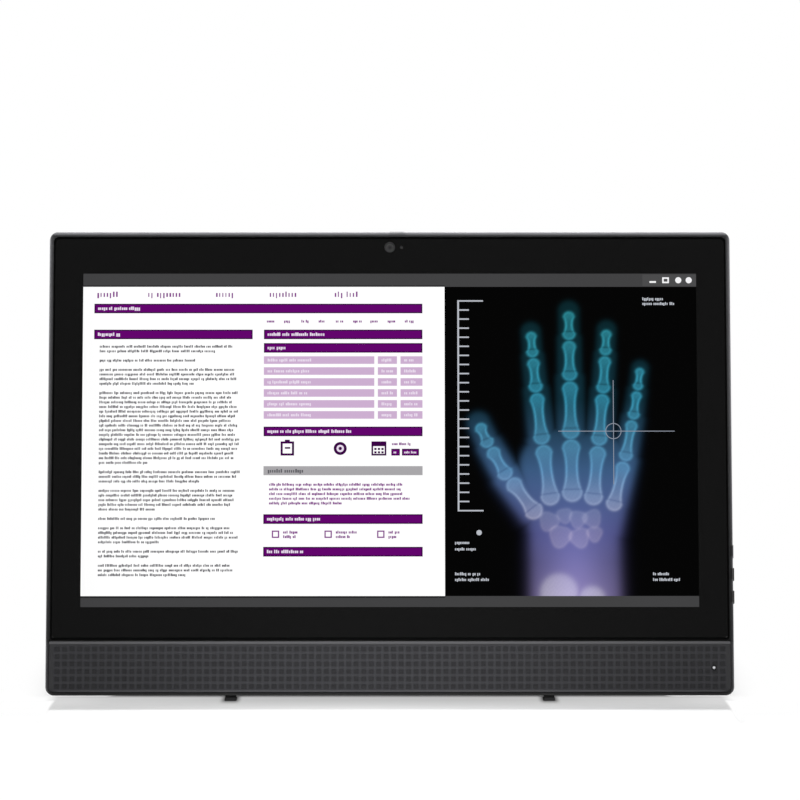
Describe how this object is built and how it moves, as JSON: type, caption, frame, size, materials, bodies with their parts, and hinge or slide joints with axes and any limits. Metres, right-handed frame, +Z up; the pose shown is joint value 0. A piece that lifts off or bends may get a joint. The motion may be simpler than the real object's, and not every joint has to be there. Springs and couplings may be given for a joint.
{
  "type": "all in one pc",
  "caption": "All-in-one desktop computer: black wide display with a speaker bar below it, camera shutter on top, folding rear leg and small front feet.",
  "frame": {"origin": "on the ground, under the middle of the whole object's box at rest", "axes": "+X to the right as seen from the front, +Y from the front to the back, +Z up"},
  "size_m": [0.4833, 0.142, 0.3272],
  "materials": {
    "surround_plastic": "satin",
    "cover_glass": "polished, black printed border",
    "grille_plastic": "fine square texture",
    "light_lens": "clear",
    "panel_steel": "plain",
    "lcd_glass": "matte polariser",
    "diffuser": "white",
    "circuit_board": "solder mask",
    "cable_film": "film",
    "chassis_steel": "zinc plated",
    "screw_steel": "plated",
    "inner_plastic": "moulded",
    "speaker_cone": "paper cone",
    "button_plastic": "satin",
    "cover_plastic": "fine spark-eroded texture",
    "processor_metal": "nickel",
    "copper": "copper",
    "fin_aluminium": "plain",
    "port_steel": "plated",
    "jack_plastic": "moulded",
    "stand_metal": "fine powder coat",
    "pin_steel": "ground",
    "foot_rubber": "matte"
  },
  "bodies": {
    "chassis": {"mid_frame": "surround_plastic", "cover_glass": "cover_glass", "speaker_grille": "grille_plastic", "power_light_lens": "light_lens", "power_light_board": "circuit_board", "lcd_front_frame": "panel_steel", "lcd_cell": "lcd_glass", "backlight_unit": "diffuser", "panel_rear_tray": "panel_steel", "timing_board": "circuit_board", "flat_cables": "cable_film", "chassis_plate": "chassis_steel", "inner_screws": "screw_steel", "speaker_boxes": "inner_plastic", "speaker_drivers": "speaker_cone", "camera_module": "circuit_board", "camera_lenses": "light_lens", "button_board": "circuit_board", "rear_cover": "cover_plastic", "rear_cover_screws": "screw_steel", "motherboard": "circuit_board", "board_standoffs": "screw_steel", "cpu": "processor_metal", "cpu_cold_plate": "copper", "heat_pipe": "copper", "heatsink_fins": "fin_aluminium", "fan_housing": "inner_plastic", "fan_cover": "fin_aluminium", "memory_modules": "circuit_board", "ssd_card": "circuit_board", "wifi_card": "circuit_board", "wifi_antennas": "cable_film", "coin_cell": "processor_metal", "hard_drive": "fin_aluminium", "drive_caddy": "chassis_steel", "power_supply": "chassis_steel", "power_inlet": "inner_plastic", "rear_port_bracket": "chassis_steel", "rear_usb_ports": "port_steel", "network_port": "port_steel", "video_ports": "port_steel", "line_out_jack": "jack_plastic", "side_port_board": "circuit_board", "side_usb_ports": "port_steel", "headset_jack": "jack_plastic", "card_reader": "port_steel", "stand_mount_bridge": "chassis_steel", "stand_bracket": "stand_metal", "stand_screws": "screw_steel", "hinge_pin": "pin_steel", "hinge_washers": "pin_steel", "front_feet": "foot_rubber"},
    "rear_leg": {"stand_leg": "stand_metal", "leg_foot_pad": "foot_rubber"},
    "shutter": {"camera_shutter": "button_plastic"},
    "brightness_up_key": {"brightness_up_button": "button_plastic"},
    "brightness_down_key": {"brightness_down_button": "button_plastic"},
    "power_key": {"power_button": "button_plastic"},
    "fan_wheel": {"fan_rotor": "inner_plastic"}
  },
  "joints": [
    {"name": "rear_leg_hinge", "type": "hinge", "parent": "chassis", "child": "rear_leg", "pos_m": [0, 0.02844, 0.20187], "axis": [1, 0, 0], "range_deg": [-20, 0]},
    {"name": "shutter_slide", "type": "slide", "parent": "chassis", "child": "shutter", "axis": [-1, 0, 0], "range_m": [0, 0.005]},
    {"name": "brightness_up_press", "type": "slide", "parent": "chassis", "child": "brightness_up_key", "axis": [-1, 0, 0], "range_m": [0, 0.0004], "stiffness_N_per_m": 2000, "springref_m": -0.0005},
    {"name": "brightness_down_press", "type": "slide", "parent": "chassis", "child": "brightness_down_key", "axis": [-1, 0, 0], "range_m": [0, 0.0004], "stiffness_N_per_m": 2000, "springref_m": -0.0005},
    {"name": "power_press", "type": "slide", "parent": "chassis", "child": "power_key", "axis": [-1, 0, 0], "range_m": [0, 0.0004], "stiffness_N_per_m": 2000, "springref_m": -0.0005},
    {"name": "fan_spin", "type": "hinge", "parent": "chassis", "child": "fan_wheel", "pos_m": [0.064, -0.00017, 0.20087], "axis": [0, 0.9848, -0.1736], "continuous": true}
  ]
}
